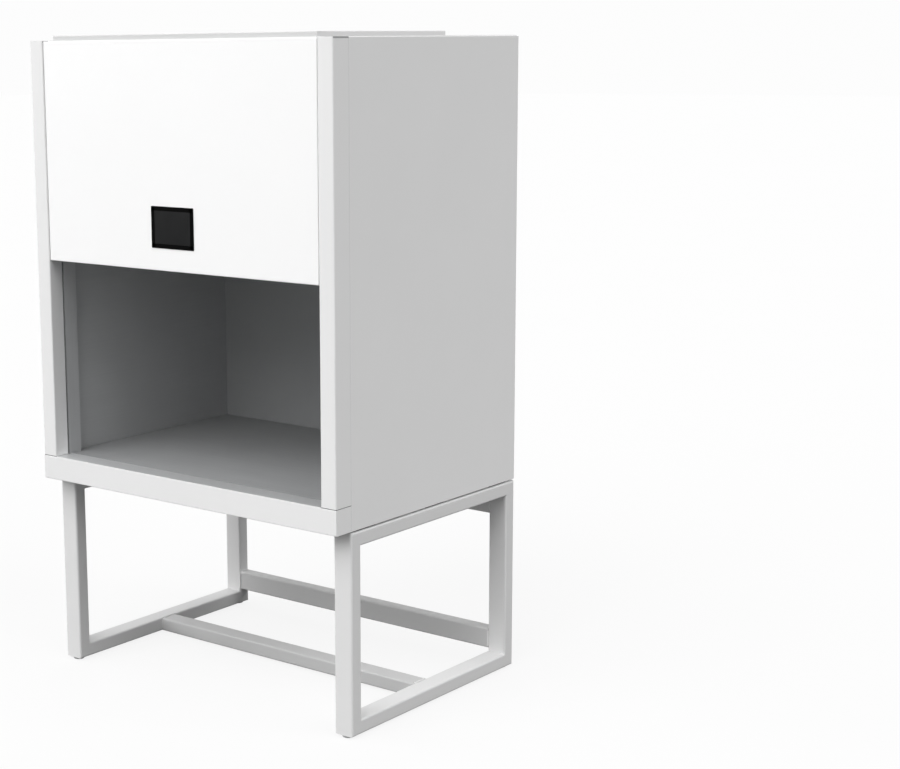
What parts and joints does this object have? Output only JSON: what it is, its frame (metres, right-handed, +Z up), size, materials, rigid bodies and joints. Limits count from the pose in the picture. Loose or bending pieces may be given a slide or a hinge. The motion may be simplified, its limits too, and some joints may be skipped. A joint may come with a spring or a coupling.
{
  "type": "laminar flow cabinet",
  "caption": "Upright clean-air work cabinet on a welded tube stand: open-fronted chamber with sliding glass sash, blower and filter above, hinged front panel with display.",
  "frame": {"origin": "on the floor, under the middle of the cabinet", "axes": "+X to the right as one faces the opening, +Y to the rear, +Z up"},
  "size_m": [1.2, 0.9, 2.0182],
  "materials": {
    "stand_paint": "satin",
    "shell_paint": "satin",
    "panel_paint": "satin",
    "chamber_steel": "satin",
    "sheet_steel": "satin",
    "aluminium": "satin",
    "weight_steel": "matte",
    "safety_glass": "gloss",
    "display_black": "gloss",
    "screen": "gloss",
    "dark_plastic": "matte",
    "pale_plastic": "matte",
    "rubber": "matte",
    "filter_cloth": "matte",
    "motor_paint": "satin"
  },
  "bodies": {
    "cabinet": {"base_pan": "shell_paint", "blower_motor": "motor_paint", "control_box": "sheet_steel", "diffuser_screen": "chamber_steel", "front_beam": "shell_paint", "front_post_left": "shell_paint", "front_post_right": "shell_paint", "glide_feet": "pale_plastic", "header_rail": "shell_paint", "hepa_frame": "aluminium", "hepa_gasket": "rubber", "hepa_media": "filter_cloth", "hepa_support_frame": "sheet_steel", "hinge_fixed_leaf": "sheet_steel", "hinge_pin": "sheet_steel", "inlet_cone": "sheet_steel", "isolation_pads": "rubber", "led_batten": "pale_plastic", "liner_back": "chamber_steel", "liner_left": "chamber_steel", "liner_right": "chamber_steel", "mains_inlet": "dark_plastic", "motor_mount": "sheet_steel", "panel_catches": "dark_plastic", "plenum_box": "sheet_steel", "post_caps": "pale_plastic", "prefilter_mat": "filter_cloth", "pulley_brackets": "sheet_steel", "rear_panel": "shell_paint", "roof_intake_cover": "shell_paint", "roof_panel": "shell_paint", "sash_belts": "sheet_steel", "sash_guide_left": "chamber_steel", "sash_guide_right": "chamber_steel", "side_panel_left": "shell_paint", "side_panel_right": "shell_paint", "stand_bottom_rail_left": "stand_paint", "stand_bottom_rail_right": "stand_paint", "stand_cross_member": "stand_paint", "stand_leg_front_left": "stand_paint", "stand_leg_front_right": "stand_paint", "stand_leg_rear_left": "stand_paint", "stand_leg_rear_right": "stand_paint", "stand_rear_rail_low": "stand_paint", "stand_rear_rail_top": "stand_paint", "stand_top_rail_left": "stand_paint", "stand_top_rail_right": "stand_paint", "work_tray": "chamber_steel"},
    "front_panel_unit": {"front_panel": "panel_paint", "hinge_panel_leaf": "sheet_steel", "display_housing": "display_black", "display_screen": "screen"},
    "sash": {"sash_glass": "safety_glass", "sash_handle": "aluminium", "sash_carriers": "dark_plastic"},
    "weight_left": {"counterweight_left": "weight_steel"},
    "weight_right": {"counterweight_right": "weight_steel"},
    "pulleys": {"sash_pulleys": "dark_plastic"},
    "impeller": {"blower_impeller": "aluminium"}
  },
  "joints": [
    {"name": "sash_slide", "type": "slide", "parent": "cabinet", "child": "sash", "axis": [0, 0, -1], "range_m": [0, 0.632], "deforming": ["sash_belts"]},
    {"name": "weight_left_slide", "type": "slide", "parent": "cabinet", "child": "weight_left", "axis": [0, 0, 1], "range_m": [0, 0.632]},
    {"name": "weight_right_slide", "type": "slide", "parent": "cabinet", "child": "weight_right", "axis": [0, 0, 1], "range_m": [0, 0.632]},
    {"name": "pulley_spin", "type": "hinge", "parent": "cabinet", "child": "pulleys", "pos_m": [0, -0.4075, 1.955], "axis": [-1, 0, 0], "range_deg": [0, 2135]},
    {"name": "front_panel_hinge", "type": "hinge", "parent": "cabinet", "child": "front_panel_unit", "pos_m": [0, -0.437, 1.993], "axis": [-1, 0, 0], "range_deg": [0, 80]},
    {"name": "impeller_spin", "type": "hinge", "parent": "cabinet", "child": "impeller", "pos_m": [0, 0.024, 1.6], "axis": [0, 0, 1], "continuous": true}
  ],
  "couplings": [
    {"joint": "weight_left_slide", "follows": "sash_slide", "ratio": 1},
    {"joint": "weight_right_slide", "follows": "sash_slide", "ratio": 1},
    {"joint": "pulley_spin", "follows": "sash_slide", "rad_per_m": 58.824}
  ]
}
